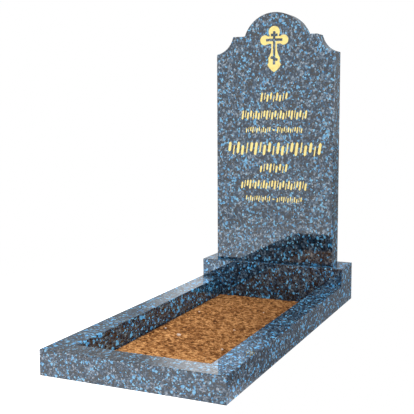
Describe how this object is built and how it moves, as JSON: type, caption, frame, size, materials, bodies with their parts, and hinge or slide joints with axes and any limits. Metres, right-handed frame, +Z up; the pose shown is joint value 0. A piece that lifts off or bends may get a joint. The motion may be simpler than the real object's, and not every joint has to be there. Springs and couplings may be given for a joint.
{
  "type": "granite headstone with plinth and kerb",
  "caption": "Upright arched granite slab with a carved and gilded face on a plinth block, with a low granite kerb around an earth bed in front.",
  "frame": {"origin": "on the ground, at the middle of the whole set's footprint", "axes": "+Z up, -Y the way the carved face looks and the kerb runs, +X to the right of someone who faces the stone"},
  "size_m": [0.6, 1.31, 1.1603],
  "materials": {
    "granite": "polished",
    "earth": "matte",
    "gilding": "satin"
  },
  "bodies": {
    "root": {"headstone": "granite", "plinth": "granite", "kerb_front": "granite", "kerb_left": "granite", "kerb_right": "granite", "earth_bed": "earth"}
  },
  "joints": []
}
